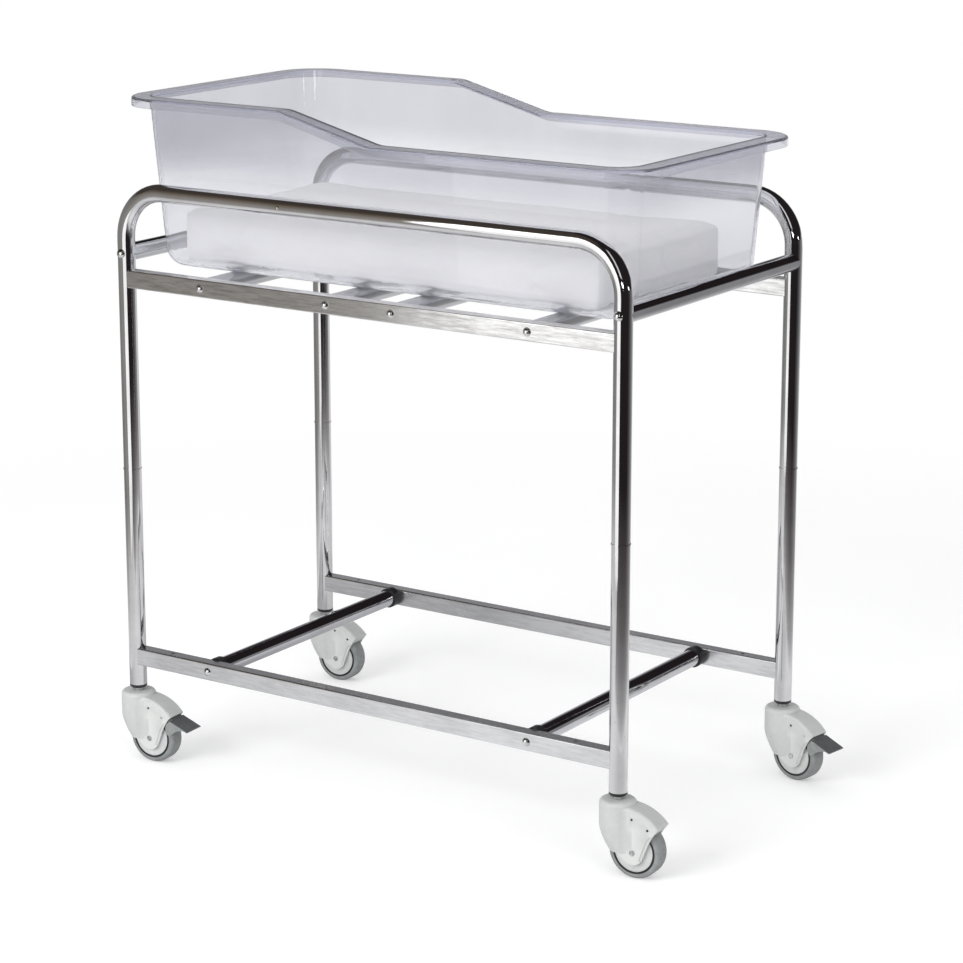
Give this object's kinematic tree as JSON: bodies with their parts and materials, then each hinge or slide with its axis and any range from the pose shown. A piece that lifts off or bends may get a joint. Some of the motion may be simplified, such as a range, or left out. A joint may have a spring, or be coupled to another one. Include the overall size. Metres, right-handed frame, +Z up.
{
  "type": "hospital bassinet",
  "caption": "Clear tub with a mattress, its rim lower at the foot end, set in a chromed tube stand with tray bars, base rails and swivel castors, of which two diagonal ones are braked.",
  "frame": {"origin": "on the floor, under the middle of the whole bassinet's box", "axes": "+X towards the foot end, +Y towards the rear side, +Z up"},
  "size_m": [0.9366, 0.504, 0.9636],
  "materials": {
    "chrome_tube": "mirror chrome plate",
    "brushed_rail": "chrome plate over a brushed flat rail",
    "satin_rail": "satin chrome plate",
    "fastener_steel": "plated steel",
    "black_plastic": "moulded black plastic",
    "castor_housing": "fine moulded light grey-white plastic",
    "wheel_hub": "moulded light grey-white plastic",
    "tyre": "grey rubber",
    "pedal": "moulded dark grey plastic",
    "clear_tub": "clear moulded polycarbonate",
    "mattress_cover": "white wipe-clean cover"
  },
  "bodies": {
    "stand": {"front_hoop": "chrome_tube", "rear_hoop": "chrome_tube", "head_front_lower_leg": "chrome_tube", "foot_front_lower_leg": "chrome_tube", "head_rear_lower_leg": "chrome_tube", "foot_rear_lower_leg": "chrome_tube", "leg_seam_rings": "chrome_tube", "leg_sleeves": "fastener_steel", "front_tray_rail": "brushed_rail", "front_base_rail": "satin_rail", "rear_tray_rail": "brushed_rail", "rear_base_rail": "satin_rail", "tray_tube_1": "chrome_tube", "tray_tube_2": "chrome_tube", "tray_tube_3": "chrome_tube", "tray_tube_4": "chrome_tube", "head_end_tube": "chrome_tube", "head_base_tube": "chrome_tube", "foot_end_tube": "chrome_tube", "foot_base_tube": "chrome_tube", "base_tube_collars": "black_plastic", "tube_inserts": "fastener_steel", "tray_bolts": "fastener_steel", "base_bolts": "fastener_steel", "end_bolts": "fastener_steel", "hoop_studs": "fastener_steel", "castor_collars": "black_plastic", "castor_stems": "fastener_steel"},
    "tub": {"tub": "clear_tub"},
    "mattress": {"mattress": "mattress_cover"},
    "head_front_castor": {"head_front_housing": "castor_housing", "head_front_swivel_bearing": "fastener_steel", "head_front_axle": "fastener_steel", "head_front_pedal_pin": "fastener_steel"},
    "head_front_wheel": {"head_front_tyre": "tyre", "head_front_hub": "wheel_hub", "head_front_hub_bearings": "fastener_steel"},
    "head_front_pedal": {"head_front_pedal": "pedal"},
    "foot_front_castor": {"foot_front_housing": "castor_housing", "foot_front_swivel_bearing": "fastener_steel", "foot_front_axle": "fastener_steel"},
    "foot_front_wheel": {"foot_front_tyre": "tyre", "foot_front_hub": "wheel_hub", "foot_front_hub_bearings": "fastener_steel"},
    "head_rear_castor": {"head_rear_housing": "castor_housing", "head_rear_swivel_bearing": "fastener_steel", "head_rear_axle": "fastener_steel"},
    "head_rear_wheel": {"head_rear_tyre": "tyre", "head_rear_hub": "wheel_hub", "head_rear_hub_bearings": "fastener_steel"},
    "foot_rear_castor": {"foot_rear_housing": "castor_housing", "foot_rear_swivel_bearing": "fastener_steel", "foot_rear_axle": "fastener_steel", "foot_rear_pedal_pin": "fastener_steel"},
    "foot_rear_wheel": {"foot_rear_tyre": "tyre", "foot_rear_hub": "wheel_hub", "foot_rear_hub_bearings": "fastener_steel"},
    "foot_rear_pedal": {"foot_rear_pedal": "pedal"}
  },
  "joints": [
    {"name": "tub_lift", "type": "slide", "parent": "stand", "child": "tub", "axis": [0, 0, 1], "range_m": [0, 0.25]},
    {"name": "mattress_lift", "type": "slide", "parent": "tub", "child": "mattress", "axis": [0, 0, 1], "range_m": [0, 0.25]},
    {"name": "head_front_swivel", "type": "hinge", "parent": "stand", "child": "head_front_castor", "pos_m": [-0.44328, -0.227, 0.1025], "axis": [0, 0, 1], "continuous": true},
    {"name": "head_front_wheel_spin", "type": "hinge", "parent": "head_front_castor", "child": "head_front_wheel", "pos_m": [-0.41335, -0.22491, 0.0375], "axis": [-0.0698, 0.9976, 0], "continuous": true},
    {"name": "head_front_brake", "type": "hinge", "parent": "head_front_castor", "child": "head_front_pedal", "pos_m": [-0.39639, -0.22372, 0.0805], "axis": [-0.0698, 0.9976, 0], "range_deg": [0, 10]},
    {"name": "foot_front_swivel", "type": "hinge", "parent": "stand", "child": "foot_front_castor", "pos_m": [0.37072, -0.227, 0.1025], "axis": [0, 0, 1], "continuous": true},
    {"name": "foot_front_wheel_spin", "type": "hinge", "parent": "foot_front_castor", "child": "foot_front_wheel", "pos_m": [0.40065, -0.22491, 0.0375], "axis": [-0.0698, 0.9976, 0], "continuous": true},
    {"name": "head_rear_swivel", "type": "hinge", "parent": "stand", "child": "head_rear_castor", "pos_m": [-0.44328, 0.227, 0.1025], "axis": [0, 0, 1], "continuous": true},
    {"name": "head_rear_wheel_spin", "type": "hinge", "parent": "head_rear_castor", "child": "head_rear_wheel", "pos_m": [-0.41335, 0.22909, 0.0375], "axis": [-0.0698, 0.9976, 0], "continuous": true},
    {"name": "foot_rear_swivel", "type": "hinge", "parent": "stand", "child": "foot_rear_castor", "pos_m": [0.37072, 0.227, 0.1025], "axis": [0, 0, 1], "continuous": true},
    {"name": "foot_rear_wheel_spin", "type": "hinge", "parent": "foot_rear_castor", "child": "foot_rear_wheel", "pos_m": [0.40035, 0.22231, 0.0375], "axis": [0.1564, 0.9877, 0], "continuous": true},
    {"name": "foot_rear_brake", "type": "hinge", "parent": "foot_rear_castor", "child": "foot_rear_pedal", "pos_m": [0.41714, 0.21965, 0.0805], "axis": [0.1564, 0.9877, 0], "range_deg": [0, 10]}
  ]
}
